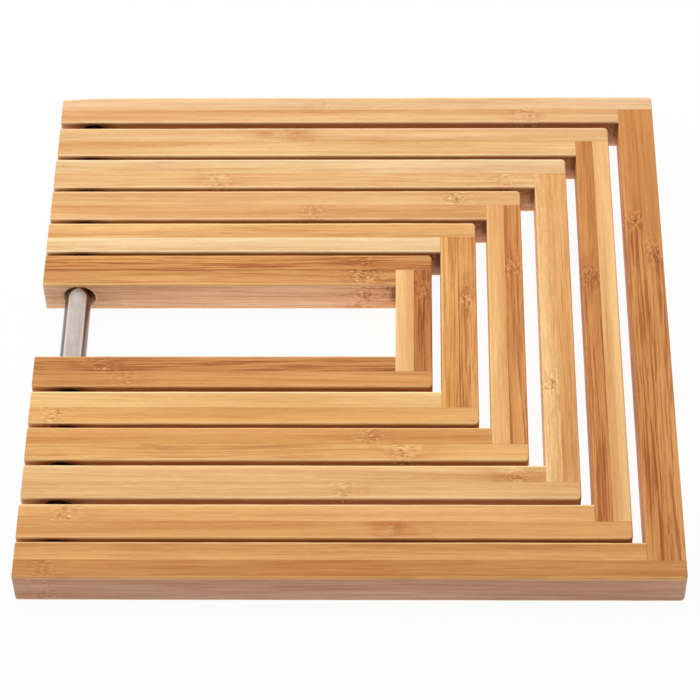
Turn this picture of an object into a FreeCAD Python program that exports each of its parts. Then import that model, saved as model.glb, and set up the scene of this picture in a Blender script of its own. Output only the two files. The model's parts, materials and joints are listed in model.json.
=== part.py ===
import FreeCAD, Part
import os

# Expanding trivet: nested U-shaped bamboo frames that swing on one steel rod.
# Millimetres, +Z up. The trivet lies closed on the plane Z = 0, centred on the Z axis.
# The rod runs along Y near the -X ends of the arms. Frame 1 is the outermost one.

# Slat stock: every slat is two bamboo strips glued side by side
ARM_WIDTH = 13.0
CROSS_WIDTH = 12.0

# Nest of frames, from the slot in the middle outwards
SLOT_WIDTH = 29.4
SLOT_LENGTH = 116.9
SIDE_GAP = 1.55
NEST_GAP = 3.8

# Edges and outer corners eased after the frames are glued up; the arms' -X ends are sawn square
EDGE_ROUND = 0.65
CORNER_ROUND = 1.25

# Rod, and the holes that carry it at mid thickness
ROD_DIAMETER = 8.6
ROD_WALL = 1.95
ROD_SETBACK = 11.5
ROD_COVER = 4.0
ROD_END_CHAMFER = 0.6
ROD_END_CLEARANCE = 0.3
SEAT_CLEARANCE = 0.02
RUNNING_CLEARANCE = 0.06
COUNTERSINK_RING = 1.3
COUNTERSINK_DEPTH = 1.5

# Hand-made spread from frame to frame, outermost first
BACK_ARM_SHARES = (0.94, 1.01, 1.01, 1.0, 0.99, 1.005)
FRONT_ARM_SHARES = (1.03, 0.995, 0.995, 1.005, 1.005, 0.975)
CROSS_WIDTH_SHARES = (1.0, 0.955, 0.9, 0.965, 0.99, 1.0)
SIDE_GAP_SHARES = (1.04, 1.12, 1.0, 0.905, 0.945)
NEST_GAP_SHARES = (1.005, 0.98, 1.32, 1.005, 0.745)
# How far each loose frame lies from the middle of its side play, as shares of the side gap
SIDE_PLAY_SHARES = (0.0, -0.01, 0.07, 0.1, 0.09, 0.28)

# Cutters reach past the faces that they cut by this much
OVERRUN = 1.0

# Worked-out sizes
FRAME_COUNT = len(CROSS_WIDTH_SHARES)
ROD_RADIUS = ROD_DIAMETER / 2
COUNTERSINK_RADIUS = ROD_RADIUS + COUNTERSINK_RING
SLAT_THICKNESS = ROD_DIAMETER + 2 * ROD_WALL
CROSS_WIDTHS = [CROSS_WIDTH * share for share in CROSS_WIDTH_SHARES]
SIDE_GAPS = [SIDE_GAP * share for share in SIDE_GAP_SHARES]
NEST_GAPS = [NEST_GAP * share for share in NEST_GAP_SHARES]
OVERALL_LENGTH = SLOT_LENGTH + sum(CROSS_WIDTHS) + sum(NEST_GAPS)
OVERALL_WIDTH = SLOT_WIDTH + 2 * (FRAME_COUNT * ARM_WIDTH + sum(SIDE_GAPS))
LEFT = -OVERALL_LENGTH / 2
ROD_X = LEFT + ROD_SETBACK
ROD_Z = SLAT_THICKNESS / 2

UP = FreeCAD.Vector(0, 0, 1)
ALONG_ROD = FreeCAD.Vector(0, 1, 0)


class FrameSizes:
    """Where one frame lies: its right end and cross-piece, and its arms' faces and seams.

    The arms' places are Y values by side: 1 for the back arm and -1 for the front arm.
    """

    def __init__(self, number):
        index = number - 1
        self.right = OVERALL_LENGTH / 2 - sum(CROSS_WIDTHS[:index]) - sum(NEST_GAPS[:index])
        self.cross_left = self.right - CROSS_WIDTHS[index]
        self.outer, self.seam, self.inner = {}, {}, {}
        shift = SIDE_GAP * SIDE_PLAY_SHARES[index]
        reach = OVERALL_WIDTH / 2 - index * ARM_WIDTH - sum(SIDE_GAPS[:index])
        for side, shares in ((1, BACK_ARM_SHARES), (-1, FRONT_ARM_SHARES)):
            width = ARM_WIDTH * shares[index]
            self.outer[side] = shift + side * reach
            self.seam[side] = shift + side * (reach - width / 2)
            self.inner[side] = shift + side * (reach - width)


def box(x_low, x_high, y_low, y_high):
    """A block of the slats' full thickness over a rectangle of the plan."""
    corner = FreeCAD.Vector(x_low, y_low, 0)
    return Part.makeBox(x_high - x_low, y_high - y_low, SLAT_THICKNESS, corner)


def corner_edges(solid, right):
    """The two upright edges at a frame's outer corners."""
    found = []
    for edge in solid.Edges:
        bounds = edge.BoundBox
        if bounds.ZLength > SLAT_THICKNESS / 2 and bounds.XMin > right - EDGE_ROUND:
            found.append(edge)
    return found


def long_edges(solid):
    """The edges round the top and bottom faces, but for those across the arms' sawn ends."""
    found = []
    for edge in solid.Edges:
        bounds = edge.BoundBox
        if bounds.ZLength < EDGE_ROUND / 2 and bounds.XMax > LEFT + EDGE_ROUND:
            found.append(edge)
    return found


def frame_blank(sizes):
    """A frame before its holes: a U in plan, extruded, with its outer corners and edges rounded."""
    plan = [
        (LEFT, sizes.outer[1]),
        (sizes.right, sizes.outer[1]),
        (sizes.right, sizes.outer[-1]),
        (LEFT, sizes.outer[-1]),
        (LEFT, sizes.inner[-1]),
        (sizes.cross_left, sizes.inner[-1]),
        (sizes.cross_left, sizes.inner[1]),
        (LEFT, sizes.inner[1]),
    ]
    points = [FreeCAD.Vector(x, y, 0) for x, y in plan]
    outline = Part.makePolygon(points + points[:1])
    blank = Part.Face(outline).extrude(UP * SLAT_THICKNESS)
    blank = blank.makeFillet(CORNER_ROUND, corner_edges(blank, sizes.right))
    return blank.makeFillet(EDGE_ROUND, long_edges(blank))


def countersink(face_y, into, clearance):
    """Where a countersink opens a rod hole at an arm's side face, as (Y, radius) from outside in.

    The cutter starts beyond the face; into is +1 or -1 along Y.
    """
    bottom = ROD_RADIUS + clearance
    slope = (COUNTERSINK_RADIUS - bottom) / COUNTERSINK_DEPTH
    mouth = COUNTERSINK_RADIUS + slope * OVERRUN
    return [(face_y - into * OVERRUN, mouth), (face_y + into * COUNTERSINK_DEPTH, bottom)]


def drill(profile):
    """A solid of revolution about the rod's axis from a profile of (Y, radius) points."""
    plan = [(profile[0][0], 0), *profile, (profile[-1][0], 0)]
    points = [FreeCAD.Vector(ROD_X, y, ROD_Z + radius) for y, radius in plan]
    outline = Part.makePolygon(points + points[:1])
    return Part.Face(outline).revolve(FreeCAD.Vector(ROD_X, 0, ROD_Z), ALONG_ROD)


def outer_frame_holes(sizes):
    """Blind holes in the outermost frame's arms, open to the inside, that hold the rod's ends."""
    tools = []
    for side in (1, -1):
        mouth = countersink(sizes.inner[side], side, SEAT_CLEARANCE)
        bottom = (sizes.outer[side] - side * ROD_COVER, ROD_RADIUS + SEAT_CLEARANCE)
        tools.append(drill([*mouth, bottom]))
    return tools


def swinging_frame_holes(sizes):
    """Holes right through both arms, countersunk on every side face."""
    tools = []
    for side in (1, -1):
        outside = countersink(sizes.outer[side], -side, RUNNING_CLEARANCE)
        inside = countersink(sizes.inner[side], side, RUNNING_CLEARANCE)
        tools.append(drill([*outside, *reversed(inside)]))
    return tools


def strip_blocks(sizes):
    """The rectangles of the plan that each glued strip of a frame takes up, by strip name.

    The arms' outer strips run to the corners. The cross-piece is let in between them, and
    the arms' inner strips stop against it.
    """
    blocks = {}
    for arm, side in (("back_arm", 1), ("front_arm", -1)):
        strips = (
            ("outer_strip", sizes.outer[side], sizes.seam[side], sizes.right),
            ("inner_strip", sizes.seam[side], sizes.inner[side], sizes.cross_left),
        )
        for strip, far, near, right in strips:
            blocks[f"{arm}_{strip}"] = box(LEFT, right, *sorted((far, near)))
    middle = (sizes.cross_left + sizes.right) / 2
    cross_ends = (sizes.seam[-1], sizes.seam[1])
    blocks["cross_outer_strip"] = box(middle, sizes.right, *cross_ends)
    blocks["cross_inner_strip"] = box(sizes.cross_left, middle, *cross_ends)
    return blocks


def frame_strips(number):
    """The strips of one frame, as solids by node name."""
    sizes = FrameSizes(number)
    tools = outer_frame_holes(sizes) if number == 1 else swinging_frame_holes(sizes)
    blank = frame_blank(sizes)
    strips = {}
    for strip, block in strip_blocks(sizes).items():
        strips[f"frame_{number}_{strip}"] = blank.common(block).cut(tools).removeSplitter()
    return strips


def rod():
    """The steel rod, with its two ends inside the outermost frame's arms."""
    half_length = OVERALL_WIDTH / 2 - ROD_COVER - ROD_END_CLEARANCE
    start = FreeCAD.Vector(ROD_X, -half_length, ROD_Z)
    bar = Part.makeCylinder(ROD_RADIUS, 2 * half_length, start, ALONG_ROD)
    rims = [edge for edge in bar.Edges if edge.BoundBox.YLength < ROD_END_CHAMFER / 2]
    return bar.makeChamfer(ROD_END_CHAMFER, rims)


def main():
    """Builds every node, checks it, and writes it to its own STEP file."""
    os.makedirs("parts", exist_ok=True)
    nodes = {"rod": rod()}
    for number in range(1, FRAME_COUNT + 1):
        nodes.update(frame_strips(number))
    for name, shape in nodes.items():
        solids = shape.Solids
        if len(solids) != 1 or not solids[0].isValid():
            raise ValueError(f"{name} is not one valid solid")
        solids[0].exportStep(f"parts/{name}.step")
    print(f"{len(nodes)} nodes, {OVERALL_LENGTH:.2f} x {OVERALL_WIDTH:.2f} x {SLAT_THICKNESS:.2f} mm")
    print(f"rod axis at X {ROD_X:.3f}, Z {ROD_Z:.3f}")


main()
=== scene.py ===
import json
import math

import bmesh
import bpy
import numpy as np
from mathutils import Matrix, Vector


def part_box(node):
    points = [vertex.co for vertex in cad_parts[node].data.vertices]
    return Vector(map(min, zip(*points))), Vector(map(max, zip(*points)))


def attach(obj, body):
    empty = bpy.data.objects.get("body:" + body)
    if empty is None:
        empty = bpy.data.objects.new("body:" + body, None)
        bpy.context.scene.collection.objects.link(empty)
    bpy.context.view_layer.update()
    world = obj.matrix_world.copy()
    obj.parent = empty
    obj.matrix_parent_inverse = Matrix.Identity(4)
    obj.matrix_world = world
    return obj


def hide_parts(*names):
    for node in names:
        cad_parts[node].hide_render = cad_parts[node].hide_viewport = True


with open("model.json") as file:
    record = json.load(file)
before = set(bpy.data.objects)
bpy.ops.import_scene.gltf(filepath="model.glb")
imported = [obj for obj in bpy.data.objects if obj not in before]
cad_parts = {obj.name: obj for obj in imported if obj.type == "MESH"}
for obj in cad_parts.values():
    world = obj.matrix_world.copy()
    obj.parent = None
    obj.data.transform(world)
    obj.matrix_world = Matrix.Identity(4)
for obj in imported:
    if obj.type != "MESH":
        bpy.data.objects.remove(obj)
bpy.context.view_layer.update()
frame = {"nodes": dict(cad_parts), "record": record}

# Bamboo strips, shape
# Every slat is two strips of bamboo glued side by side, planed flat, with its free long edges
# eased by hand. The arms' outer strips run on to the rounded outer corners of the frames, and
# the cross-pieces and the arms' inner strips butt against their neighbours.
EDGE_ROUND = 0.0005
CORNER_ROUND = 0.0015
END_EDGE_ROUND = 0.0003
END_CORNER_ROUND = 0.0006
LEAST_ROUND = 0.00002
EDGE_SPREAD_SHARE = 0.3
EDGE_WAVELENGTHS = (0.037, 0.071, 0.013)
SIDE_WANDER = 0.00006
SIDE_WAVELENGTHS = (0.061, 0.097, 0.023)
SUPPORT = 0.00016
WORN_REACH = 0.020
STATIONS_PER_METRE = 650
LEAST_STATIONS = 8
CORNER_STEPS = 6
EDGE_STEPS = 5
MERGE_DISTANCE = 1e-7

frame_nodes = [name for name in frame["nodes"] if name.startswith("frame_")]
slot_of = {row["node"]: row["material_slot"] for row in frame["record"]["subparts"]}


def wander(place, seed, wavelengths):
    """A slow hand-made wander between 0 and 1: the mean of three sines with seeded phases."""
    phases = np.random.default_rng(seed).uniform(0, 2 * np.pi, len(wavelengths))
    waves = [np.sin(2 * np.pi * place / w + p) for w, p in zip(wavelengths, phases)]
    return 0.5 + 0.5 * np.mean(waves, axis=0)


def strip_outline(length, width, low_end, high_end, let_in, worn, seed):
    """The strip's plan as arrays: place along (s) and across (t), inward direction, edge radius.

    It runs from the seam corner at the low end, across that end, round a quarter circle, along
    the free side, and back in the same way at the high end. An end is sawn, a corner of the
    frame, or a joint with no quarter circle. A support point lies on either side of each
    quarter circle. Where the free side is let in to a neighbour, near both ends, its rounding
    runs out. Near the low end the free side may be worn down.
    """
    corner = {"sawn": END_CORNER_ROUND, "corner": CORNER_ROUND, "joint": 0.0}
    edge = {"sawn": END_EDGE_ROUND, "corner": EDGE_ROUND, "joint": 0.0}
    low, high = corner[low_end], corner[high_end]
    count = max(LEAST_STATIONS, int((length - low - high) * STATIONS_PER_METRE))
    side = np.linspace(low, length - high, count)
    added = [low + SUPPORT, length - high - SUPPORT]
    if let_in:
        run_out = np.array([let_in - EDGE_ROUND, let_in])
        added = np.concatenate([added, run_out, length - run_out])
    side = np.sort(np.concatenate([side, added]))
    turn = np.linspace(0, np.pi / 2, CORNER_STEPS + 1)
    along = 0 * side[1:-1]
    beside_low = width - low - SUPPORT if low else width / 2
    beside_high = width - high - SUPPORT if high else width / 2
    s = [[0.0, 0.0], low - low * np.cos(turn), side[1:-1],
         length - high + high * np.sin(turn), [length, length]]
    t = [[0.0, beside_low], width - low + low * np.sin(turn), width + along,
         width - high + high * np.cos(turn), [beside_high, 0.0]]
    inward_s = [[1.0, 1.0], np.cos(turn), along, -np.sin(turn), [-1.0, -1.0]]
    inward_t = [[0.0, 0.0], -np.sin(turn), along - 1, -np.cos(turn), [0.0, 0.0]]
    radius_low = edge[low_end] + (EDGE_ROUND - edge[low_end]) * np.sin(turn)
    radius_high = edge[high_end] + (EDGE_ROUND - edge[high_end]) * np.cos(turn)
    radius = [[edge[low_end]] * 2, radius_low, EDGE_ROUND + along, radius_high,
              [edge[high_end]] * 2]
    for end, part in ((low_end, 1), (high_end, 3)):
        if end == "joint":
            inward_s[part] = 0 * turn
            inward_t[part] = 0 * turn - 1
            radius[part] = 0 * turn + EDGE_ROUND
    s, t, inward_s, inward_t, radius = map(np.concatenate, (s, t, inward_s, inward_t, radius))
    t = t + inward_t * SIDE_WANDER * wander(s, seed, SIDE_WAVELENGTHS)
    t = t - worn * np.clip(1 - s / WORN_REACH, 0, 1) ** 2 * t / width
    spread = wander(s, seed + 1, EDGE_WAVELENGTHS) - 0.5
    radius = radius * (1 + EDGE_SPREAD_SHARE * spread)
    if let_in:
        from_joint = np.minimum(s, length - s) - (let_in - EDGE_ROUND)
        radius = radius * np.clip(from_joint / EDGE_ROUND, 0, 1)
    return s, t, inward_s, inward_t, np.maximum(radius, LEAST_ROUND)


def strip_surface(outline, height):
    """Side wall and flat faces of a strip, as vertices (levels x outline) and faces.

    At each level the outline is drawn in by the inset of a quarter circle of the edge radius:
    inset r(1 - cos a) at height h/2 - r(1 - sin a), with a support ring on either side of it.
    """
    s, t, inward_s, inward_t, radius = outline
    angle = np.linspace(0, np.pi / 2, EDGE_STEPS + 1)[:, None]
    inset = radius * (1 - np.cos(angle))
    level = height / 2 - radius * (1 - np.sin(angle))
    inset = np.vstack([0 * radius, inset, radius + SUPPORT])
    level = np.vstack([height / 2 - radius - SUPPORT, level, height / 2 + 0 * radius])
    inset = np.vstack([inset[::-1], inset])
    level = np.vstack([-level[::-1], level])
    points = np.stack([s + inward_s * inset, t + inward_t * inset, level], axis=-1)
    rows, columns = level.shape
    index = np.arange(rows * columns).reshape(rows, columns)
    here, after = index[:-1], np.roll(index, -1, axis=1)[:-1]
    above, above_after = index[1:], np.roll(index, -1, axis=1)[1:]
    quads = np.stack([here, after, above_after, above], axis=-1).reshape(-1, 4)
    faces = quads.tolist() + [index[0][::-1].tolist(), index[-1].tolist()]
    return points.reshape(-1, 3), faces


def closed_mesh(name, vertices, faces):
    """A mesh whose doubled points are merged and whose faces point outwards."""
    mesh = bpy.data.meshes.new(name)
    mesh.from_pydata(vertices.tolist(), [], faces)
    shell = bmesh.new()
    shell.from_mesh(mesh)
    bmesh.ops.remove_doubles(shell, verts=shell.verts, dist=MERGE_DISTANCE)
    bmesh.ops.dissolve_degenerate(shell, edges=shell.edges, dist=MERGE_DISTANCE)
    bmesh.ops.recalc_face_normals(shell, faces=shell.faces)
    shell.to_mesh(mesh)
    shell.free()
    return mesh


# Rod holes in the arms
# The five inner frames are drilled right through both arms and countersunk on every side
# face. The countersinks at the slot are wider and lean towards the cross-pieces. The outermost
# frame is drilled from the inside only, so its outer faces stay whole.
HOLE_CLEARANCE = 0.00006
SLOT_RING = 0.0011
SLOT_RING_SHIFT = 0.00035
GAP_RING = 0.0007
COUNTERSINK_DEPTH = 0.0015
ROD_COVER = 0.004
CUT_OVERRUN = 0.001
ROUND_STEPS = 96

rod_low, rod_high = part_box("rod")
rod_radius = (rod_high.z - rod_low.z) / 2
rod_x = (rod_low.x + rod_high.x) / 2
rod_z = (rod_low.z + rod_high.z) / 2


def revolved(name, places, radii, shifts=0.0):
    """A closed round body along the rod's axis: circles of given radius at given places in Y.

    Each circle's middle lies off the axis by its shift along X.
    """
    turn = np.linspace(0, 2 * np.pi, ROUND_STEPS, endpoint=False)
    middles = rod_x + np.broadcast_to(shifts, len(places))
    rings = np.stack([
        middles[:, None] + np.outer(radii, np.cos(turn)),
        np.outer(places, np.ones(ROUND_STEPS)),
        rod_z + np.outer(radii, np.sin(turn)),
    ], axis=-1)
    index = np.arange(len(places) * ROUND_STEPS).reshape(len(places), ROUND_STEPS)
    after = np.roll(index, -1, axis=1)
    quads = np.stack([index[:-1], after[:-1], after[1:], index[1:]], axis=-1).reshape(-1, 4)
    faces = quads.tolist() + [index[0].tolist(), index[-1][::-1].tolist()]
    return closed_mesh(name, rings.reshape(-1, 3), faces)


def hole_cutter(face_out, face_in, ring_in, blind):
    """The drill and countersinks for one arm.

    face_out and face_in are its side faces' places in Y, and ring_in is the width of the ring
    that the countersink in the inner face leaves round the rod.
    """
    bore = rod_radius + HOLE_CLEARANCE
    overshoot = 1 + CUT_OVERRUN / COUNTERSINK_DEPTH
    mouth_in = bore + (ring_in - HOLE_CLEARANCE) * overshoot
    mouth_out = bore + (GAP_RING - HOLE_CLEARANCE) * overshoot
    lean = SLOT_RING_SHIFT * overshoot if ring_in == SLOT_RING else 0.0
    step = math.copysign(1, face_in - face_out)
    circles = [
        (face_in + step * CUT_OVERRUN, mouth_in, lean),
        (face_in - step * COUNTERSINK_DEPTH, bore, 0.0),
    ]
    if blind:
        circles += [(face_out + step * ROD_COVER, bore, 0.0)]
    else:
        circles += [
            (face_out + step * COUNTERSINK_DEPTH, bore, 0.0),
            (face_out - step * CUT_OVERRUN, mouth_out, 0.0),
        ]
    cutter = bpy.data.objects.new("hole_cutter", revolved("hole_cutter", *zip(*circles)))
    bpy.context.scene.collection.objects.link(cutter)
    return cutter


def drill(piece, cutter):
    """Cuts the holes out of a strip for good, and takes the cutter away.

    use_self minds a strip's folded support rings: without it some cuts add the cutter instead.
    """
    cut = piece.modifiers.new("rod hole", "BOOLEAN")
    cut.operation = "DIFFERENCE"
    cut.solver = "EXACT"
    cut.use_self = True
    cut.object = cutter
    evaluated = piece.evaluated_get(bpy.context.evaluated_depsgraph_get())
    drilled = bpy.data.meshes.new_from_object(evaluated)
    piece.modifiers.clear()
    piece.data = drilled
    bpy.data.objects.remove(cutter)


# Bamboo, surface
# Planed and oiled bamboo: fine lengthwise fibres, darker bundles of vessels, and now and then a
# knuckle where the fibres part. Each strip comes from another stick, so its tone differs. Side
# faces carry painted shade in the gaps and a painted pale sheen and light towards the table,
# arrises are rubbed and carry a painted highlight, glue lines show dark, and drilled holes are
# painted dark with shade.
TONES = {
    "bamboo_cream": (0.880, 0.552, 0.258),
    "bamboo_straw": (0.835, 0.484, 0.190),
    "bamboo_honey": (0.785, 0.410, 0.131),
    "bamboo_amber": (0.710, 0.330, 0.092),
    "bamboo_caramel": (0.610, 0.250, 0.063),
    "bamboo_toffee": (0.495, 0.178, 0.038),
}
# Colours that the tone is multiplied by
GAP_SHADE = (0.80, 0.62, 0.47)
# Painted shade in a band just under the arris
UNDER_ARRIS_SHADE = (0.82, 0.75, 0.62)
# Rubbed arris: pale wear with a painted highlight
ARRIS_WEAR_AND_HIGHLIGHT = (1.05, 1.16, 1.36)
DARK_FIBRE = (0.82, 0.71, 0.60)
PALE_FIBRE = (1.13, 1.25, 1.42)
VESSEL = (0.62, 0.41, 0.25)
STAIN = (0.76, 0.58, 0.42)
SQUIGGLE = (0.55, 0.37, 0.24)
FLECK = (1.28, 1.55, 2.00)
SAWN_END = (0.84, 0.74, 0.64)
# Darker in the inner corners, with dark specks
CORNER_DARK = (0.34, 0.26, 0.20)
GLUE = (0.50, 0.34, 0.22)
# Colours that cover it
# A pale painted sheen and painted light from the table, laid over side faces
PAINTED_SIDE_LIGHT = (0.78, 0.72, 0.70)
# Painted light on the shaded countersink at the slot
CUT_PAINTED_LIGHT = (0.98, 0.79, 0.58)
# Painted shade, near black, in the rod holes
HOLE_SHADE_BLACK = (0.030, 0.014, 0.008)
# Painted dark shade, with tear-out in patches, on the +X side of the slot's hole
TORN_AND_SHADED_BORE = (0.210, 0.100, 0.048)
# How strongly each of them shows
# Painted sheen and table light on side faces, and how much more of it lies deep in a gap
PAINTED_SIDE_LIGHT_SHARE = 0.16
DEEP_PAINTED_LIGHT = 1.7
THREAD_SHARE = 0.13
FLAME_SHARE = 0.82
VESSEL_SHARE = 0.68
PALE_FLAME_SHARE = 0.45
SQUIGGLE_SHARE = 0.62
STROKE_SHARE = 0.65
FLECK_SHARE = 0.80
DOT_SHARE = 0.75
CORNER_DARK_SHARE = 0.85
SPECK_SHARE = 0.8
HOLE_SHADE_BLACK_SHARE = 0.95
# Noises by name: cells per millimetre along, across and up the strip, detail and roughness
FIBRE_NOISES = {
    "fine": ((0.045, 2.9, 2.9), 2.0, 0.6),
    "grain": ((0.30, 4.2, 4.2), 1.0, 0.5),
    "middling": ((0.014, 0.62, 0.62), 2.0, 0.5),
    "broad": ((0.0085, 0.17, 0.17), 1.0, 0.5),
    "flicker": ((0.13, 0.95, 0.95), 2.0, 0.55),
    "thread": ((0.009, 0.85, 0.85), 1.0, 0.5),
    "vessels": ((0.052, 2.5, 2.5), 1.0, 0.5),
    "flames": ((0.032, 1.25, 1.25), 1.5, 0.5),
    "squiggle": ((0.55, 1.55, 1.55), 1.5, 0.6),
    "strokes": ((1.05, 0.62, 0.62), 0.5, 0.5),
    "relief": ((0.09, 5.5, 5.5), 2.0, 0.6),
}
STRIP_NOISES = {
    "wobble": ((0.22, 0.45, 0.45), 0.0, 0.5),
    "drift": ((0.012, 0.05, 0.05), 0.0, 0.5),
    "stain": ((0.09, 0.28, 0.28), 1.5, 0.5),
    "glue": ((0.05, 0.3, 0.3), 2.0, 0.5),
    "specks": ((1.1, 1.1, 1.1), 1.5, 0.5),
    "wear": ((0.07, 0.4, 0.4), 2.0, 0.5),
    "chips": ((0.55, 0.55, 0.55), 2.0, 0.5),
}
SWIRL_NOISE = ((0.21, 0.33, 0.33), 0.6, 0.5)
# How much each fibre noise moves the tone between dark and pale
FIBRE_WEIGHTS = {"fine": 0.65, "grain": 0.60, "middling": 1.05, "broad": 1.7}
# How fast a knuckle's heart, its parted fibres and its stain die out along the strip
KNUCKLE_FALLS = (0.30, 0.045, 0.0085)
WOBBLE = 4.2
DRIFT = 3.0
SEED_STRIDES = (41.7, 13.3, 27.9)
DOTS_PER_MILLIMETRE = 1.55
RELIEF_STRENGTH = 0.35
RELIEF_DEPTH = 0.00006
MILLIMETRES = 1000.0


class Nodes:
    """Short calls that place and link nodes in one tree."""

    def __init__(self, tree):
        self.tree = tree

    def node(self, kind, **settings):
        made = self.tree.nodes.new(kind)
        for name, value in settings.items():
            setattr(made, name, value)
        return made

    def feed(self, socket, value):
        if isinstance(value, bpy.types.NodeSocket):
            self.tree.links.new(value, socket)
        elif value is not None:
            socket.default_value = value

    def math(self, operation, a, b=None, c=None, clamp=False):
        made = self.node("ShaderNodeMath", operation=operation, use_clamp=clamp)
        for socket, value in zip(made.inputs, (a, b, c)):
            self.feed(socket, value)
        return made.outputs[0]

    def times(self, product, *others):
        """The product of two or more numbers."""
        for other in others:
            product = self.math("MULTIPLY", product, other)
        return product

    def vector(self, operation, a, b=None):
        made = self.node("ShaderNodeVectorMath", operation=operation)
        self.feed(made.inputs[0], a)
        self.feed(made.inputs[1], b)
        return made.outputs[0]

    def mix(self, blend, share, a, b):
        made = self.node("ShaderNodeMix", data_type="RGBA", blend_type=blend)
        self.feed(made.inputs[0], share)
        self.feed(made.inputs[6], a)
        self.feed(made.inputs[7], (*b, 1) if isinstance(b, tuple) else b)
        return made.outputs[2]

    def tint(self, colour, share, by):
        """A colour, multiplied by another one as far as the share says."""
        return self.mix("MULTIPLY", share, colour, by)

    def cover(self, colour, share, over):
        """A colour, covered by another one as far as the share says."""
        return self.mix("MIX", share, colour, over)

    def ramp(self, value, low, high, to_low=0.0, to_high=1.0):
        """Smooth step from to_low at low to to_high at high."""
        made = self.node("ShaderNodeMapRange", interpolation_type="SMOOTHSTEP")
        for socket, number in zip(made.inputs, (value, low, high, to_low, to_high)):
            self.feed(socket, number)
        return made.outputs[0]

    def noise(self, place, scale, detail, rough, output=0):
        """Noise whose cells are stretched: scale is cells per millimetre along X, Y and Z."""
        made = self.node("ShaderNodeTexNoise", noise_dimensions="3D")
        self.feed(made.inputs["Vector"], self.vector("MULTIPLY", place, scale))
        made.inputs["Scale"].default_value = 1.0
        made.inputs["Detail"].default_value = detail
        made.inputs["Roughness"].default_value = rough
        return made.outputs[output]


def group_tree(name, inputs, outputs):
    """An empty shader node group with named sockets, as (tree, input sockets, output node)."""
    tree = bpy.data.node_groups.new(name, "ShaderNodeTree")
    for label, kind in inputs:
        tree.interface.new_socket(label, in_out="INPUT", socket_type=f"NodeSocket{kind}")
    for label, kind in outputs:
        tree.interface.new_socket(label, in_out="OUTPUT", socket_type=f"NodeSocket{kind}")
    source = tree.nodes.new("NodeGroupInput")
    return tree, source.outputs, tree.nodes.new("NodeGroupOutput")


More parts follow.
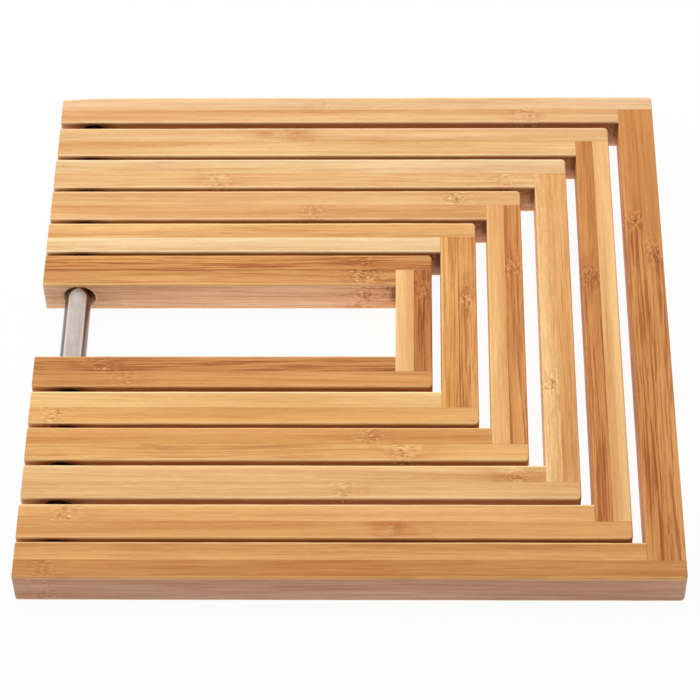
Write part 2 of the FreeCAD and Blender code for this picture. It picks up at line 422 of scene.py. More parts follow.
def bamboo_group():
    """Colour, roughness and relief of a strip from its place in millimetres.

    X runs along the strip from its middle, Y across it from the seam, Z up from mid height.
    """
    numbers = ("Seed", "Half Length", "Width", "Half Height", "Rod Place", "Hole", "Hole Reach",
               "Scorched", "Knuckle 1", "Knuckle 2", "Squiggle", "Stain", "Streaks Low",
               "Streaks High", "Mottle", "Lean", "Glue", "Bloom", "Gap", "Residue", "Rub",
               "Sawn Low", "Sawn High")
    tree, given, result = group_tree(
        "bamboo",
        [("Place", "Vector"), ("Tone", "Color"), ("Side Tint", "Color")]
        + [(label, "Float") for label in numbers],
        [("Color", "Color"), ("Roughness", "Float"), ("Height", "Float")],
    )
    n = Nodes(tree)
    seed = n.node("ShaderNodeCombineXYZ")
    for axis, stride in enumerate(SEED_STRIDES):
        n.feed(seed.inputs[axis], n.times(given["Seed"], stride))
    moved = n.vector("ADD", given["Place"], seed.outputs[0])
    apart = n.node("ShaderNodeSeparateXYZ")
    n.feed(apart.inputs[0], given["Place"])
    along, across, up = apart.outputs
    patch = {name: n.noise(moved, *settings) for name, settings in STRIP_NOISES.items()}

    # Knuckles: how near the place is to one, on a line that wobbles across the strip
    bent = n.math("ADD", along, n.math("MULTIPLY_ADD", patch["wobble"], WOBBLE, -WOBBLE / 2))
    squares = []
    for knuckle in ("Knuckle 1", "Knuckle 2"):
        away = n.math("SUBTRACT", bent, given[knuckle])
        squares.append(n.times(away, away))
    nearest = n.math("MINIMUM", *squares)
    heart, near, halo = [n.math("EXPONENT", n.times(nearest, -fall)) for fall in KNUCKLE_FALLS]

    # Fibres: long stretched noise, pushed aside where a knuckle is near
    pull = n.vector("SUBTRACT", n.noise(moved, *SWIRL_NOISE, "Color"), (0.5, 0.5, 0.5))
    lively = n.times(near, given["Squiggle"])
    reach = n.math("ADD", n.math("MULTIPLY_ADD", lively, 2.0, 0.25), given["Mottle"])
    strength = n.node("ShaderNodeCombineXYZ")
    n.feed(strength.inputs[1], reach)
    n.feed(strength.inputs[2], reach)
    fibres = n.vector("ADD", moved, n.vector("MULTIPLY", pull, strength.outputs[0]))
    drift = n.node("ShaderNodeCombineXYZ")
    n.feed(drift.inputs[1], n.math("MULTIPLY_ADD", patch["drift"], DRIFT, -DRIFT / 2))
    fibres = n.vector("ADD", fibres, drift.outputs[0])
    fibre = {name: n.noise(fibres, *settings) for name, settings in FIBRE_NOISES.items()}
    thread = n.math("ABSOLUTE", n.math("SUBTRACT", fibre["thread"], 0.5))
    thread = n.ramp(thread, 0.0, 0.022, 1.0, 0.0)

    # Dark vessel streaks, on one side of the knuckle more than on the other
    side_of = n.ramp(n.math("SUBTRACT", along, given["Knuckle 1"]), -3.0, 3.0)
    streaks = n.math("SUBTRACT", given["Streaks High"], given["Streaks Low"])
    streaks = n.math("MULTIPLY_ADD", side_of, streaks, given["Streaks Low"])
    vessels = n.math("MULTIPLY", n.ramp(fibre["vessels"], 0.52, 0.61), streaks, clamp=True)
    flames = n.math("MULTIPLY", n.ramp(fibre["flames"], 0.50, 0.60), streaks, clamp=True)
    pale_flames = n.math("MULTIPLY", n.ramp(fibre["flames"], 0.48, 0.40), streaks, clamp=True)

    # Where on the strip's section the place is: how far below each face, and on a side face or not
    flat_up = n.math("SUBTRACT", given["Half Height"], n.math("ABSOLUTE", up))
    flat_side = n.math("SUBTRACT", given["Width"], across)
    side = n.ramp(n.math("SUBTRACT", flat_up, flat_side), -0.12, 0.2)
    depth = n.math("SUBTRACT", given["Half Height"], up)
    to_low = n.math("ADD", given["Half Length"], along)
    to_high = n.math("SUBTRACT", given["Half Length"], along)

    # Tone along the strip: fibres, slow changes, and a lean from one side to the other
    share = 0.5
    for name, weight in FIBRE_WEIGHTS.items():
        share = n.math("MULTIPLY_ADD", n.math("SUBTRACT", fibre[name], 0.5), weight, share)
    mottle = n.math("MULTIPLY_ADD", given["Mottle"], 1.7, 0.35)
    share = n.math("MULTIPLY_ADD", n.math("SUBTRACT", fibre["flicker"], 0.5), mottle, share)
    centred = n.math("SUBTRACT", n.math("DIVIDE", across, given["Width"]), 0.5)
    share = n.math("MULTIPLY_ADD", centred, given["Lean"], share)
    share = n.math("MULTIPLY_ADD", thread, -THREAD_SHARE, share, clamp=True)

    # Side faces: painted shade in a gap, a painted pale sheen and light that grows towards the
    # table, and painted shade just under the arris
    shaded = n.tint(given["Tone"], given["Gap"], GAP_SHADE)
    # The side tint is the side faces' own tone and, on the inner cross-pieces, painted light
    shaded = n.vector("MULTIPLY", shaded, given["Side Tint"])
    painted_deep_light = n.ramp(depth, 2.0, 9.0, 0.0, DEEP_PAINTED_LIGHT)
    bloom = n.math("MULTIPLY_ADD", painted_deep_light, given["Gap"], given["Bloom"])
    aside = n.cover(shaded, n.times(bloom, PAINTED_SIDE_LIGHT_SHARE), PAINTED_SIDE_LIGHT)
    # Painted shade in a band just under the arris
    under_arris_shade = n.times(n.ramp(depth, 0.45, 0.9), n.ramp(depth, 2.3, 1.2))
    aside = n.tint(aside, n.times(under_arris_shade, given["Gap"]), UNDER_ARRIS_SHADE)
    tone = n.cover(given["Tone"], side, aside)
    pale = n.tint(tone, 1.0, PALE_FIBRE)
    colour = n.cover(n.tint(tone, 1.0, DARK_FIBRE), share, pale)
    colour = n.tint(colour, n.times(flames, FLAME_SHARE), VESSEL)
    colour = n.tint(colour, n.times(vessels, VESSEL_SHARE), VESSEL)
    colour = n.cover(colour, n.times(pale_flames, PALE_FLAME_SHARE), pale)

    # Knuckle colour: a stain that thins out, dark and pale squiggles, and short cross strokes
    stained = n.times(halo, n.ramp(patch["stain"], 0.32, 0.62), given["Stain"])
    colour = n.tint(colour, stained, STAIN)
    dark_squiggle = n.times(n.ramp(fibre["squiggle"], 0.53, 0.66), lively)
    pale_squiggle = n.times(n.ramp(fibre["squiggle"], 0.47, 0.34), lively)
    strokes = n.times(n.ramp(fibre["strokes"], 0.56, 0.66), heart, given["Squiggle"])
    colour = n.tint(colour, n.times(dark_squiggle, SQUIGGLE_SHARE), SQUIGGLE)
    colour = n.tint(colour, n.times(strokes, STROKE_SHARE), SQUIGGLE)
    fleck = n.tint(given["Tone"], 1.0, FLECK)
    colour = n.cover(colour, n.times(pale_squiggle, FLECK_SHARE), fleck)

    # Glue lines: along the seam, and across at the ends that butt against a neighbour
    glue_edge = n.math("MULTIPLY_ADD", given["Glue"], 0.25, 0.10)
    seam = n.ramp(across, n.times(given["Glue"], 0.10), glue_edge, 1.0, 0.0)
    seam = n.times(seam, given["Glue"])
    joints = []
    for away, sawn in ((to_low, "Sawn Low"), (to_high, "Sawn High")):
        glued = n.math("SUBTRACT", 1.0, given[sawn])
        joints.append(n.times(n.ramp(away, 0.04, 0.16, 0.18, 0.0), glued))
    glue = n.math("MAXIMUM", seam, n.math("MAXIMUM", *joints))
    glue = n.times(glue, n.ramp(patch["glue"], 0.35, 0.60, 0.35, 1.0))
    colour = n.tint(colour, glue, GLUE)

    # Sawn ends: darker, with the cut ends of the vessels as close-set dots
    dots = n.node("ShaderNodeTexVoronoi", voronoi_dimensions="3D", feature="F1")
    n.feed(dots.inputs["Vector"], n.vector("MULTIPLY", moved, (0.05, 1.0, 1.0)))
    dots.inputs["Scale"].default_value = DOTS_PER_MILLIMETRE
    dot_mask = n.ramp(dots.outputs["Distance"], 0.20, 0.36, 1.0, 0.0)
    sawn_low = n.times(n.ramp(to_low, 0.02, 0.26, 1.0, 0.0), given["Sawn Low"])
    sawn_high = n.times(n.ramp(to_high, 0.02, 0.26, 1.0, 0.0), given["Sawn High"])
    sawn = n.math("MAXIMUM", sawn_low, sawn_high)
    end_colour = n.tint(given["Tone"], 1.0, SAWN_END)
    end_colour = n.tint(end_colour, n.times(dot_mask, DOT_SHARE), SQUIGGLE)
    colour = n.cover(colour, sawn, end_colour)

    # Darker in the inner corners, beside the cross-piece, below the arris, with dark specks
    darker_corner = n.times(n.ramp(to_high, 0.9, 2.4, 1.0, 0.0), n.ramp(depth, 10.0, 6.0))
    specks = n.times(
        n.ramp(patch["specks"], 0.44, 0.60), n.ramp(to_high, 6.0, 2.5), n.ramp(depth, 8.0, 3.0))
    darker_corner = n.math("MAXIMUM", n.times(darker_corner, CORNER_DARK_SHARE), n.times(specks, SPECK_SHARE))
    darker_corner = n.times(darker_corner, given["Residue"], side, n.ramp(flat_up, 0.5, 1.0))
    colour = n.tint(colour, darker_corner, CORNER_DARK)

    # Rubbed arris on the free side, in patches: partly wear and partly a painted highlight
    rubbed_and_highlit = n.ramp(n.math("ADD", flat_up, flat_side), 0.45, 1.05, 1.0, 0.0)
    rubbed_and_highlit = n.times(rubbed_and_highlit, n.ramp(patch["wear"], 0.34, 0.58, 0.55, 1.0), given["Rub"])
    # Pale wood with a painted highlight, for rubbed arrises and the hole's rim
    pale_and_highlit = n.tint(n.tint(given["Tone"], 1.0, PALE_FIBRE), 1.0, ARRIS_WEAR_AND_HIGHLIGHT)
    colour = n.cover(colour, rubbed_and_highlit, pale_and_highlit)

    # Rod hole: painted black with shade and ringed by a painted shade halo, or, on the slot face,
    # painted dark shade with tear-out on its +X side under a pale chipped rim with a painted
    # highlight, and painted light on the rest of the countersink
    hole_unshaded = n.math("SUBTRACT", 1.0, given["Scorched"])
    drilled = n.ramp(n.math("SUBTRACT", across, given["Hole Reach"]), 0.0, 0.2, 1.0, 0.0)
    from_rod = n.math("SUBTRACT", along, given["Rod Place"])
    leaning = n.math("SUBTRACT", from_rod, MILLIMETRES * SLOT_RING_SHIFT)
    off_centre = n.math("MULTIPLY_ADD", given["Scorched"], -0.15, leaning)
    square = n.math("MULTIPLY_ADD", off_centre, off_centre, n.times(up, up))
    outside = n.math("SUBTRACT", n.math("SQRT", square), given["Hole"])
    faced = n.times(side, drilled)
    # Painted shade halo round a hole painted black
    shade_halo = n.times(n.ramp(outside, -1.0, 5.5, 1.0, 0.0), given["Scorched"])
    colour = n.tint(colour, n.times(shade_halo, faced), SQUIGGLE)
    # Painted dark shade, with tear-out in patches, on the upper +X side of the slot's hole
    torn_and_shaded_side = n.times(n.ramp(from_rod, 2.6, 3.8), n.ramp(up, -3.5, -1.0))
    # A pale chipped rim with a painted highlight on the upper +X side of the slot's hole
    pale_rim_highlight = n.times(n.ramp(outside, -0.15, 0.05), n.ramp(outside, 0.3, 0.7, 1.0, 0.0))
    pale_rim_highlight = n.times(pale_rim_highlight, torn_and_shaded_side, hole_unshaded)
    colour = n.cover(colour, n.times(pale_rim_highlight, faced), pale_and_highlit)
    hole_shade_edge = n.math("MULTIPLY_ADD", given["Scorched"], -0.4, outside)
    hole = n.times(n.ramp(hole_shade_edge, -0.7, 0.2, 1.0, 0.0), drilled, n.ramp(flat_up, 0.1, 0.4))
    torn_and_shaded_patches = n.times(torn_and_shaded_side, n.ramp(patch["chips"], 0.30, 0.55, 0.65, 1.0))
    colour = n.cover(colour, n.times(hole, torn_and_shaded_patches), TORN_AND_SHADED_BORE)
    # Painted light on the -X side of the slot's countersink
    painted_light_on_cut = n.times(n.ramp(outside, -0.2, 0.1, 1.0, 0.0), n.ramp(from_rod, 0.5, 2.5, 0.9, 0.0))
    painted_light_on_cut = n.times(painted_light_on_cut, n.times(drilled, hole_unshaded))
    colour = n.cover(colour, painted_light_on_cut, CUT_PAINTED_LIGHT)
    # Painted near-black shade in the holes
    black_hole_shade = n.times(hole, n.times(given["Scorched"], HOLE_SHADE_BLACK_SHARE))
    colour = n.cover(colour, black_hole_shade, HOLE_SHADE_BLACK)

    # Oiled finish, duller on what is sawn, planed on its side or drilled, and the fibres' relief
    rough = n.math("MULTIPLY_ADD", fibre["fine"], 0.14, 0.37)
    for mask, duller in ((sawn, 0.22), (side, 0.08), (rubbed_and_highlit, -0.08), (hole, 0.30)):
        rough = n.math("MULTIPLY_ADD", mask, duller, rough)
    height = n.times(fibre["relief"], 0.40)
    for mask, rise in ((fibre["middling"], 0.30), (vessels, -0.35), (dark_squiggle, -0.4),
                       (strokes, -0.6), (glue, -1.1), (n.times(sawn, dot_mask), -0.9)):
        height = n.math("MULTIPLY_ADD", mask, rise, height)
    n.feed(result.inputs["Color"], colour)
    n.feed(result.inputs["Roughness"], rough)
    n.feed(result.inputs["Height"], height)
    return tree


bamboo = bamboo_group()

# Frames
# Six U-shaped frames, each glued up from a back arm, a front arm and a cross-piece. Knuckles
# are given in millimetres from the strip's middle, towards +X on arms and +Y on cross-pieces.
NO_KNUCKLE = 500.0
FIRST_SEED = 10
SEED_STEP = 3
SHARP_ANGLE = 38
# Side faces get a painted pale sheen and light, rubbed arrises a painted highlight, and holes
# painted shade
PLAIN = {
    "knuckles": (NO_KNUCKLE, NO_KNUCKLE), "squiggle": 0.0, "stain": 0.0, "streaks": (0.15, 0.15),
    "mottle": 0.0, "lean": 0.25, "glue": 0.25, "tint": (1.0, 1.0, 1.0), "side": (1.0, 1.0, 1.0),
    "bloom": 0.25, "gap": 1.0, "rub": 0.75, "worn": 0.0, "scorched": 1.0,
}
# A cross-piece's faces stand in more open room than the arms' faces in the narrow side gaps, so
# they get no painted gap shade and little painted sheen, and edges that face the back are rubbed
# the most and carry the strongest painted highlight
CROSS_SIDES = {"gap": 0.0, "bloom": 0.1, "rub": 0.25}
BACK_EDGE_WEAR_AND_HIGHLIGHT = {"rub": 1.0}
# How far each frame's arms stop short of the left plane, where they were sawn by eye
END_INSETS = {
    "back": (0.00027, 0.00028, 0.00010, 0.00011, 0.0, 0.00006),
    "front": (0.00012, 0.00007, 0.00025, 0.00010, 0.00008, 0.0),
}
# The side colours of the inner cross-pieces brighten their faces towards -X: painted light
LOOKS = {
    "frame_1_back_arm_outer": {"knuckles": (-11.5, NO_KNUCKLE), "squiggle": 0.25, "stain": 0.25,
                               "worn": 0.0013, "tint": (0.9, 0.87, 0.92)},
    "frame_1_back_arm_inner": {"knuckles": (65.6, NO_KNUCKLE), "squiggle": 0.8, "stain": 0.6,
                               "tint": (0.89, 0.84, 0.89)},
    "frame_1_front_arm_outer": {"knuckles": (-93.4, NO_KNUCKLE), "squiggle": 0.5, "lean": -0.5,
                                "side": (0.79, 0.79, 0.79), "bloom": 1.05, "gap": 0.18, "rub": 1.0,
                                "tint": (0.97, 0.985, 1.015), "streaks": (0.3, 0.3)},
    "frame_1_front_arm_inner": {"streaks": (0.25, 0.25), "lean": -0.4, "tint": (1.04, 1.1, 1.2)},
    "frame_1_cross_outer": {"knuckles": (29.7, NO_KNUCKLE), "squiggle": 1.0, "stain": 0.6,
                            "streaks": (1.0, 0.2), "tint": (1.09, 1.13, 1.20)},
    "frame_1_cross_inner": {"knuckles": (43.5, NO_KNUCKLE), "squiggle": 1.0, "stain": 0.6,
                            "streaks": (1.0, 0.25), "tint": (1.06, 1.06, 1.06),
                            "side": (1.30, 1.58, 1.34)},
    "frame_2_back_arm_outer": {"knuckles": (-17.4, NO_KNUCKLE), "squiggle": 0.4, "stain": 1.0,
                               "tint": (0.91, 0.9, 0.97)},
    "frame_2_back_arm_inner": {"tint": (0.95, 0.96, 0.97)},
    "frame_2_front_arm_outer": {"knuckles": (22.1, NO_KNUCKLE), "squiggle": 0.25, "stain": 0.9,
                                "tint": (1.06, 1.09, 1.2)},
    "frame_2_front_arm_inner": {"knuckles": (-74.4, NO_KNUCKLE), "squiggle": 0.8, "stain": 0.2,
                                "tint": (1.04, 1.04, 1.1)},
    "frame_2_cross_inner": {"knuckles": (19.5, NO_KNUCKLE), "squiggle": 0.9, "stain": 0.8,
                            "streaks": (0.9, 0.4), "tint": (0.99, 0.95, 0.92),
                            "side": (1.45, 1.88, 1.60)},
    "frame_2_cross_outer": {"tint": (1.01, 0.96, 0.90)},
    "frame_3_back_arm_outer": {"streaks": (0.25, 0.25), "tint": (0.92, 0.93, 0.91)},
    "frame_3_back_arm_inner": {"knuckles": (-25.1, 71.5), "squiggle": 0.6, "stain": 0.6,
                               "streaks": (0.25, 0.25), "tint": (0.96, 0.96, 0.98)},
    "frame_3_front_arm_outer": {"knuckles": (12.8, NO_KNUCKLE), "squiggle": 0.6, "stain": 0.25,
                                "tint": (0.99, 0.97, 0.94), "bloom": 0.7},
    "frame_3_front_arm_inner": {"knuckles": (72.5, NO_KNUCKLE), "squiggle": 0.5, "stain": 0.7},
    "frame_3_cross_outer": {"tint": (0.99, 0.92, 0.92), "streaks": (0.35, 0.35)},
    "frame_3_cross_inner": {"knuckles": (-26.2, NO_KNUCKLE), "squiggle": 1.0, "stain": 0.3,
                            "streaks": (0.25, 0.15), "mottle": 0.6, "tint": (1.05, 1.03, 1.02),
                            "side": (1.08, 1.25, 1.2)},
    "frame_4_back_arm_outer": {"knuckles": (58.2, NO_KNUCKLE), "squiggle": 1.0, "stain": 0.3,
                               "tint": (0.91, 0.87, 0.83)},
    "frame_4_back_arm_inner": {"knuckles": (15.0, NO_KNUCKLE), "squiggle": 0.5, "stain": 0.3,
                               "tint": (0.99, 1.03, 1.21)},
    "frame_4_front_arm_inner": {"knuckles": (34.8, NO_KNUCKLE), "squiggle": 0.9, "stain": 0.5},
    "frame_4_front_arm_outer": {"knuckles": (40.6, NO_KNUCKLE), "squiggle": 1.0, "stain": 0.9,
                                "streaks": (0.4, 0.2), "tint": (1.02, 1.01, 1.02)},
    "frame_4_cross_outer": {"knuckles": (23.1, NO_KNUCKLE), "squiggle": 0.8, "stain": 0.8,
                            "streaks": (0.7, 0.5), "tint": (1.10, 1.12, 1.18)},
    "frame_4_cross_inner": {"tint": (1.08, 1.11, 1.2), "side": (1.1, 1.35, 1.3)},
    "frame_5_back_arm_outer": {"streaks": (0.3, 0.3), "tint": (1.04, 1.1, 1.21)},
    "frame_5_front_arm_inner": {"tint": (1.10, 1.15, 1.13)},
    "frame_5_back_arm_inner": {"lean": -0.3, "tint": (0.95, 1.0, 1.0)},
    "frame_5_front_arm_outer": {"knuckles": (-64.4, NO_KNUCKLE), "squiggle": 0.9, "stain": 0.1,
                                "tint": (0.99, 0.96, 0.93)},
    "frame_5_cross_outer": {"knuckles": (9.8, NO_KNUCKLE), "squiggle": 0.9, "stain": 0.5,
                            "streaks": (0.9, 0.5), "glue": 1.0, "tint": (1.03, 1.0, 0.99)},
    "frame_5_cross_inner": {"streaks": (0.6, 0.6), "glue": 1.0, "tint": (1.19, 1.27, 1.28)},
    "frame_6_back_arm_outer": {"streaks": (0.9, 0.9), "glue": 1.0, "knuckles": (41.4, NO_KNUCKLE),
                               "squiggle": 0.5, "stain": 0.3, "tint": (1.03, 1.08, 1.09)},
    "frame_6_back_arm_inner": {"knuckles": (47.4, NO_KNUCKLE), "squiggle": 1.0, "stain": 0.7,
                               "glue": 1.0, "streaks": (0.4, 0.8), "gap": 0.0, "scorched": 0.0,
                               "bloom": 1.3, "tint": (0.99, 1.04, 1.14)},
    "frame_6_front_arm_inner": {"knuckles": (-36.9, NO_KNUCKLE), "squiggle": 1.0, "stain": 0.6,
                                "streaks": (0.7, 0.8), "tint": (1.01, 1.06, 1.14), "gap": 0.0},
    "frame_6_front_arm_outer": {"knuckles": (-33.9, NO_KNUCKLE), "squiggle": 0.5, "stain": 0.2,
                                "streaks": (0.3, 0.3), "tint": (0.95, 0.91, 0.90)},
    "frame_6_cross_outer": {"knuckles": (12.6, NO_KNUCKLE), "squiggle": 0.8, "stain": 0.5,
                            "streaks": (1.0, 0.8), "tint": (0.98, 0.96, 0.94)},
    "frame_6_cross_inner": {"tint": (1.02, 0.97, 0.91)},
}


# Beyond any strip's end, as a share of its length
FAR_SHARE = 10
BAMBOO_IOR = 1.47
BAMBOO_SPECULAR = 0.35


class Strip:
    """Where one strip lies, which way it runs and how its ends are made.

    Along it is +X on an arm and +Y on a cross-piece. Across it is from the seam with its fellow
    strip to its free side, on which free_sign is 1 where that side faces +Y or +X.
    """

    def __init__(self, node):
        self.node = node
        self.number, self.member, self.side = [node.split("_")[word] for word in (1, 2, -2)]
        self.turned = self.member == "cross"
        self.arm_sign = 1 if self.member == "back" else -1
        self.free_sign = 1 if self.side == "outer" else -1
        if not self.turned:
            self.free_sign *= self.arm_sign
        self.flip = -self.free_sign if self.turned else self.free_sign
        self.ring = SLOT_RING if self.number == "6" and self.side == "inner" else GAP_RING
        self.let_in = 0.0
        low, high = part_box(node)
        self.height = high.z - low.z
        self.middle = (low.z + high.z) / 2
        if self.turned:
            self.start = low.y
            self.length, self.width = high.y - low.y, high.x - low.x
            self.seam = low.x if self.free_sign > 0 else high.x
            self.ends = ("joint", "joint")
            self.origin = ((low.y + high.y) / 2, -self.seam, self.middle)
            if self.side == "inner":
                arm_low, arm_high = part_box(f"frame_{self.number}_back_arm_inner_strip")
                self.let_in = arm_high.y - arm_low.y
        else:
            low.x += END_INSETS[self.member][int(self.number) - 1]
            self.start = low.x
            self.length, self.width = high.x - low.x, high.y - low.y
            self.seam = low.y if self.free_sign > 0 else high.y
            self.ends = ("sawn", "corner" if self.side == "outer" else "joint")
            self.origin = ((low.x + high.x) / 2, self.seam, self.middle)

    def placed(self, s, t, up):
        """Points in space from places along the strip, across it and up from mid height."""
        along = self.start + s
        across = self.seam + self.free_sign * t
        sides = [across, along] if self.turned else [along, across]
        return np.stack([*sides, self.middle + up], axis=-1)

    def arm_cutter(self):
        """The drill for the whole arm that the strip is part of."""
        outer_low, outer_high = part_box(self.node.replace(self.side, "outer"))
        inner_low, inner_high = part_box(self.node.replace(self.side, "inner"))
        faces = (outer_low.y, inner_high.y)
        if self.arm_sign > 0:
            faces = (outer_high.y, inner_low.y)
        return hole_cutter(*faces, self.ring, blind=self.number == "1")


def strip_material(strip, look, seed):
    """One strip's bamboo: the group fed with this strip's place, tone, knuckles and ends."""
    material = bpy.data.materials.new(strip.node)
    material.use_nodes = True
    material.node_tree.nodes.clear()
    n = Nodes(material.node_tree)
    turn = n.node("ShaderNodeMapping", vector_type="POINT")
    n.feed(turn.inputs["Vector"], n.node("ShaderNodeTexCoord").outputs["Object"])
    turn.inputs["Scale"].default_value = (MILLIMETRES,) * 3
    turn.inputs["Rotation"].default_value = (0, 0, -math.pi / 2 if strip.turned else 0)
    turn.inputs["Location"].default_value = [-MILLIMETRES * c for c in strip.origin]
    group = n.node("ShaderNodeGroup", node_tree=bamboo)
    n.feed(group.inputs["Place"], n.vector("MULTIPLY", turn.outputs[0], (1, strip.flip, 1)))
    tone = [channel * share for channel, share in zip(TONES[slot_of[strip.node]], look["tint"])]
    far_off = FAR_SHARE * MILLIMETRES * strip.length
    values = {
        "Tone": (*tone, 1),
        "Side Tint": (*look["side"], 1),
        "Seed": seed,
        "Half Length": MILLIMETRES * strip.length / 2,
        "Width": MILLIMETRES * strip.width,
        "Half Height": MILLIMETRES * strip.height / 2,
        "Rod Place": far_off if strip.turned else MILLIMETRES * (rod_x - strip.origin[0]),
        "Hole": MILLIMETRES * (rod_radius + strip.ring),
        "Hole Reach": far_off,
        "Knuckle 1": look["knuckles"][0],
        "Knuckle 2": look["knuckles"][1],
        "Streaks Low": look["streaks"][0],
        "Streaks High": look["streaks"][1],
        "Sawn Low": float(strip.ends[0] == "sawn"),
        "Sawn High": float(strip.ends[1] == "corner"),
        "Residue": float(strip.ends == ("sawn", "joint")),
    }
    if strip.number == "1" and strip.side == "outer":
        values["Hole Reach"] = MILLIMETRES * (strip.width - ROD_COVER)
    for part in ("scorched", "squiggle", "stain", "mottle", "lean", "glue", "bloom", "gap", "rub"):
        values[part.capitalize()] = look[part]
    for label, value in values.items():
        group.inputs[label].default_value = value
    bump = n.node("ShaderNodeBump")
    bump.inputs["Strength"].default_value = RELIEF_STRENGTH
    bump.inputs["Distance"].default_value = RELIEF_DEPTH
    n.feed(bump.inputs["Height"], group.outputs["Height"])
    shader = n.node("ShaderNodeBsdfPrincipled")
    shader.inputs["IOR"].default_value = BAMBOO_IOR
    shader.inputs["Specular IOR Level"].default_value = BAMBOO_SPECULAR
    n.feed(shader.inputs["Base Color"], group.outputs["Color"])
    n.feed(shader.inputs["Roughness"], group.outputs["Roughness"])
    n.feed(shader.inputs["Normal"], bump.outputs["Normal"])
    n.feed(n.node("ShaderNodeOutputMaterial").inputs["Surface"], shader.outputs[0])
    return material


def strip_piece(node, seed):
    """Builds one strip in its node's place, finishes it, and puts it on its frame."""
    strip = Strip(node)
    name = node.replace("_strip", "")
    setting = {}
    if strip.turned:
        setting = CROSS_SIDES
    elif strip.free_sign > 0:
        setting = BACK_EDGE_WEAR_AND_HIGHLIGHT
    look = {**PLAIN, **setting, **LOOKS.get(name, {})}
    outline = strip_outline(
        strip.length, strip.width, *strip.ends, strip.let_in, look["worn"], seed)
    points, faces = strip_surface(outline, strip.height)
    piece = bpy.data.objects.new(name, closed_mesh(node, strip.placed(*points.T), faces))
    bpy.context.scene.collection.objects.link(piece)
    if not strip.turned:
        drill(piece, strip.arm_cutter())
    piece.data.shade_smooth()
    piece.data.set_sharp_from_angle(angle=math.radians(SHARP_ANGLE))
    piece.data.materials.clear()
    piece.data.materials.append(strip_material(strip, look, seed))
    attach(piece, f"frame_{strip.number}")
    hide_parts(node)


for index, node in enumerate(sorted(frame_nodes)):
    strip_piece(node, FIRST_SEED + SEED_STEP * index)

# Rod
# One straight length of drawn steel rod with its ends chamfered, glued into the outermost
# frame. It is bright along its top in the slot, with a painted highlight rim on either side of
# that top, and carries a painted dark reflection down its flanks, with a painted reflection of
# the bamboo on the side towards the cross-pieces. Where it runs through the arms it is painted
# near black with shade.
ROD_CHAMFER = 0.0006
ROD_SHARP_ANGLE = 30
BRIGHT_STEEL = (0.590, 0.515, 0.460)
CLOUDY_STEEL = (0.520, 0.450, 0.395)
# Painted highlight rims beside the bright top
HIGHLIGHT_RIM_STEEL = (0.760, 0.670, 0.610)
# Dark drawn lines, and the painted dark reflection down the flanks
DARK_LINE_AND_REFLECTION_STEEL = (0.17, 0.145, 0.125)
# Painted reflection of the bamboo on the flank towards the cross-pieces
BAMBOO_REFLECTION_STEEL = (0.22, 0.165, 0.130)
# Painted shade, near black, inside the arms
ROD_SHADE_BLACK = (0.012, 0.010, 0.009)
DRAWN_SHARE = 0.16
HIGHLIGHT_RIM_SHARE = 0.8
FLANK_REFLECTION_SHARE = 0.92
ROD_SHADE_BLACK_SHARE = 0.95
SATIN_SHARE = 0.60
DRAWN_NOISE = ((7.0, 0.12, 7.0), 3.0, 0.6)
CLOUD_NOISE = ((0.5, 0.22, 0.5), 3.0, 0.6)
DRAWN_STRENGTH = 0.3
DRAWN_DEPTH = 0.00002

chamfer_places = [rod_low.y, rod_low.y + ROD_CHAMFER, rod_high.y - ROD_CHAMFER, rod_high.y]
chamfer_radii = [rod_radius - ROD_CHAMFER, rod_radius, rod_radius, rod_radius - ROD_CHAMFER]
rod_mesh = revolved("steel_rod", np.array(chamfer_places), np.array(chamfer_radii))
rod_piece = bpy.data.objects.new("steel_rod", rod_mesh)
bpy.context.scene.collection.objects.link(rod_piece)
rod_piece.data.shade_smooth()
rod_piece.data.set_sharp_from_angle(angle=math.radians(ROD_SHARP_ANGLE))

slot_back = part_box("frame_6_back_arm_inner_strip")[0].y
slot_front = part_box("frame_6_front_arm_inner_strip")[1].y
slot_middle = (rod_x, (slot_back + slot_front) / 2, rod_z)

steel = bpy.data.materials.new("satin_steel")
steel.use_nodes = True
steel.node_tree.nodes.clear()
n = Nodes(steel.node_tree)
centre = n.node("ShaderNodeMapping", vector_type="POINT")
n.feed(centre.inputs["Vector"], n.node("ShaderNodeTexCoord").outputs["Object"])
centre.inputs["Scale"].default_value = (MILLIMETRES,) * 3
centre.inputs["Location"].default_value = [-MILLIMETRES * c for c in slot_middle]
parts = n.node("ShaderNodeSeparateXYZ")
n.feed(parts.inputs[0], centre.outputs[0])
towards_cross, along_rod, up = parts.outputs
drawn = n.noise(centre.outputs[0], *DRAWN_NOISE)
clouds = n.noise(centre.outputs[0], *CLOUD_NOISE)
metal = n.cover((*CLOUDY_STEEL, 1), n.ramp(clouds, 0.35, 0.65), BRIGHT_STEEL)
metal = n.cover(metal, n.times(n.ramp(drawn, 0.45, 0.75), DRAWN_SHARE), DARK_LINE_AND_REFLECTION_STEEL)

# The bright top between the painted flank reflections leans a little towards the cross-pieces,
# and the painted shade closes round its end in each mouth of the slot
rise = n.math("DIVIDE", up, MILLIMETRES * rod_radius)
lean = n.math("DIVIDE", towards_cross, MILLIMETRES * rod_radius)
rise = n.math("MULTIPLY_ADD", lean, 0.055, n.math("MULTIPLY_ADD", clouds, 0.03, rise))
half_slot = MILLIMETRES * (slot_back - slot_front) / 2
past_slot = n.math("SUBTRACT", n.math("ABSOLUTE", along_rod), half_slot)
rounded = n.math("MULTIPLY_ADD", past_slot, 0.35, 0.97, clamp=True)
rise = n.math("MULTIPLY_ADD", n.math("POWER", rounded, 2.0), -0.26, rise)
# Painted dark reflection down both flanks
flank_dark_reflection = n.ramp(rise, 0.725, 0.765, 1.0, 0.0)
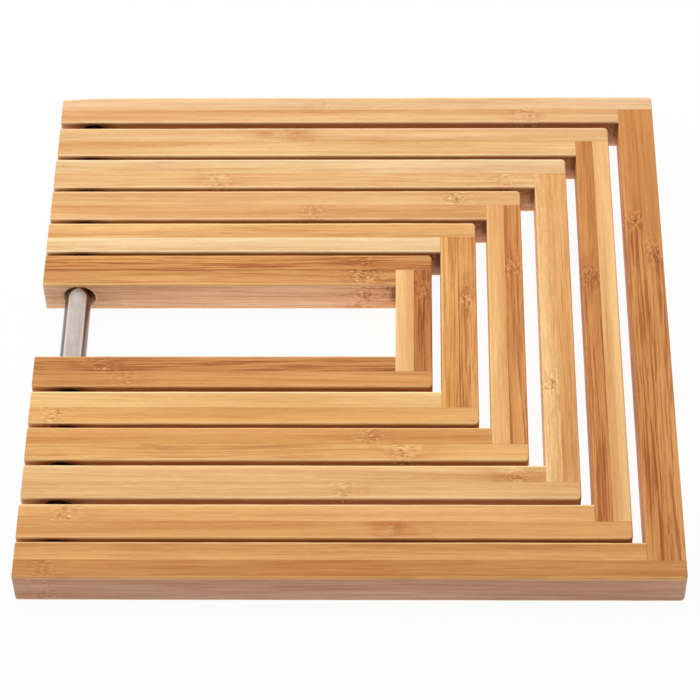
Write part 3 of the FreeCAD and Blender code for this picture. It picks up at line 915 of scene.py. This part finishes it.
# Painted highlight rims along both edges of the bright top
worn = n.times(n.ramp(rise, 0.80, 0.93, 1.0, 0.0), HIGHLIGHT_RIM_SHARE)
metal = n.cover(metal, worn, HIGHLIGHT_RIM_STEEL)
# Painted reflection of the bamboo on the flank towards the cross-pieces
flank_reflection_steel = n.cover((*DARK_LINE_AND_REFLECTION_STEEL, 1), n.ramp(towards_cross, -1.0, 1.0), BAMBOO_REFLECTION_STEEL)
metal = n.cover(metal, n.times(flank_dark_reflection, FLANK_REFLECTION_SHARE), flank_reflection_steel)
# Painted shade, near black, where the rod runs through the arms
shaded_in_arms = n.ramp(past_slot, 0.3, 2.2)
metal = n.cover(metal, n.times(shaded_in_arms, ROD_SHADE_BLACK_SHARE), ROD_SHADE_BLACK)
shader = n.node("ShaderNodeBsdfPrincipled")
n.feed(shader.inputs["Base Color"], metal)
satin = n.math("SUBTRACT", 1.0, n.math("MAXIMUM", flank_dark_reflection, shaded_in_arms))
n.feed(shader.inputs["Metallic"], n.math("SUBTRACT", 1.0, n.times(satin, SATIN_SHARE)))
rough = n.math("MULTIPLY_ADD", drawn, 0.12, 0.20)
n.feed(shader.inputs["Roughness"], n.math("MULTIPLY_ADD", shaded_in_arms, 0.25, rough))
bump = n.node("ShaderNodeBump")
bump.inputs["Strength"].default_value = DRAWN_STRENGTH
bump.inputs["Distance"].default_value = DRAWN_DEPTH
n.feed(bump.inputs["Height"], drawn)
n.feed(shader.inputs["Normal"], bump.outputs["Normal"])
n.feed(n.node("ShaderNodeOutputMaterial").inputs["Surface"], shader.outputs[0])
rod_piece.data.materials.append(steel)
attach(rod_piece, "frame_1")
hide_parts("rod")

# Table top
# A plain pale surface that the trivet lies on, lit a little from below. Seen by the camera or in
# a reflection it is nearly white, and it keeps the trivet's soft shadow.
FLOOR_SIZE = 6.0
FLOOR_DROP = 0.00005
FLOOR_GREY = (0.93, 0.93, 0.93, 1)
FLOOR_GLOW_SHARE = 0.94
FLOOR_LIGHT = 0.8
WHITE = (1, 1, 1, 1)

corners = np.array([(-1, -1, 0), (1, -1, 0), (1, 1, 0), (-1, 1, 0)]) * FLOOR_SIZE / 2
corners[:, 2] = -FLOOR_DROP
floor_mesh = bpy.data.meshes.new("floor")
floor_mesh.from_pydata(corners.tolist(), [], [(0, 1, 2, 3)])
floor = bpy.data.objects.new("floor", floor_mesh)
bpy.context.scene.collection.objects.link(floor)


def seen_directly(n):
    """1 for camera, glossy and transmission rays, and 0 for the rays that carry the light."""
    path = n.node("ShaderNodeLightPath")
    seen = n.math("ADD", path.outputs["Is Camera Ray"], path.outputs["Is Glossy Ray"])
    return n.math("ADD", seen, path.outputs["Is Transmission Ray"], clamp=True)


paper = bpy.data.materials.new("pale_floor")
paper.use_nodes = True
paper.node_tree.nodes.clear()
n = Nodes(paper.node_tree)
matt = n.node("ShaderNodeBsdfDiffuse")
matt.inputs["Color"].default_value = FLOOR_GREY
glow = n.node("ShaderNodeEmission")
glow.inputs["Color"].default_value = WHITE
blend = n.node("ShaderNodeMixShader")
n.feed(blend.inputs[0], n.times(seen_directly(n), FLOOR_GLOW_SHARE))
n.feed(blend.inputs[1], matt.outputs[0])
n.feed(blend.inputs[2], glow.outputs[0])
from_below = n.node("ShaderNodeEmission")
from_below.inputs["Color"].default_value = WHITE
unseen = n.math("SUBTRACT", 1.0, seen_directly(n))
n.feed(from_below.inputs["Strength"], n.times(unseen, FLOOR_LIGHT))
both = n.node("ShaderNodeAddShader")
n.feed(both.inputs[0], blend.outputs[0])
n.feed(both.inputs[1], from_below.outputs[0])
n.feed(n.node("ShaderNodeOutputMaterial").inputs["Surface"], both.outputs[0])
floor_mesh.materials.append(paper)

# Light
# A white room seen from inside, whose light comes mostly from above and behind the trivet, and
# a soft lamp close by at the back, so that the far side is the brightest.
SKY_LOW = 0.10
SKY_HIGH = 0.95
SKY_LEAN = (-0.35, 0.42, 0.84)
SKY_START = -0.2
LAMP_PLACE = (-0.10, 0.31, 0.43)
LAMP_SIZE = 0.45
LAMP_POWER = 1.65

world = bpy.data.worlds.new("white_room")
bpy.context.scene.world = world
world.use_nodes = True
world.node_tree.nodes.clear()
n = Nodes(world.node_tree)
towards = n.node("ShaderNodeVectorMath", operation="DOT_PRODUCT")
n.feed(towards.inputs[0], n.node("ShaderNodeTexCoord").outputs["Generated"])
towards.inputs[1].default_value = Vector(SKY_LEAN).normalized()
sky = n.ramp(towards.outputs["Value"], SKY_START, 1.0, SKY_LOW, SKY_HIGH)
seen = seen_directly(n)
unseen = n.math("SUBTRACT", 1.0, seen)
background = n.node("ShaderNodeBackground")
background.inputs["Color"].default_value = WHITE
n.feed(background.inputs["Strength"], n.math("MULTIPLY_ADD", unseen, sky, seen))
n.feed(n.node("ShaderNodeOutputWorld").inputs["Surface"], background.outputs[0])

lamp_data = bpy.data.lights.new("soft_lamp", "AREA")
lamp_data.size = LAMP_SIZE
lamp_data.energy = LAMP_POWER
lamp = bpy.data.objects.new("soft_lamp", lamp_data)
bpy.context.scene.collection.objects.link(lamp)
lamp.location = LAMP_PLACE
lamp.visible_glossy = False
lamp.rotation_euler = (-Vector(LAMP_PLACE)).to_track_quat("-Z", "Y").to_euler()

# Camera
# Fitted to the photograph's slat edges: its place in metres, its heading, tilt and roll in
# degrees, and its lens and sensor in millimetres.
CAMERA_PLACE = (0.017741, -0.553125, 0.698697)
CAMERA_HEADING = -1.953
CAMERA_TILT = 51.734
CAMERA_ROLL = -1.528
CAMERA_LENS = 138.775
CAMERA_SENSOR = 36.0
CAMERA_NEAR = 0.05
CAMERA_FAR = 20.0

camera_data = bpy.data.cameras.new("camera")
camera_data.lens = CAMERA_LENS
camera_data.sensor_width = CAMERA_SENSOR
camera_data.clip_start = CAMERA_NEAR
camera_data.clip_end = CAMERA_FAR
camera = bpy.data.objects.new("camera", camera_data)
bpy.context.scene.collection.objects.link(camera)
camera.location = CAMERA_PLACE
heading = Matrix.Rotation(math.radians(-CAMERA_HEADING), 4, "Z")
tilt = Matrix.Rotation(math.radians(90 - CAMERA_TILT), 4, "X")
roll = Matrix.Rotation(math.radians(CAMERA_ROLL), 4, "Z")
camera.rotation_euler = (heading @ tilt @ roll).to_euler()
bpy.context.scene.camera = camera

bpy.context.scene.view_settings.view_transform = "Standard"
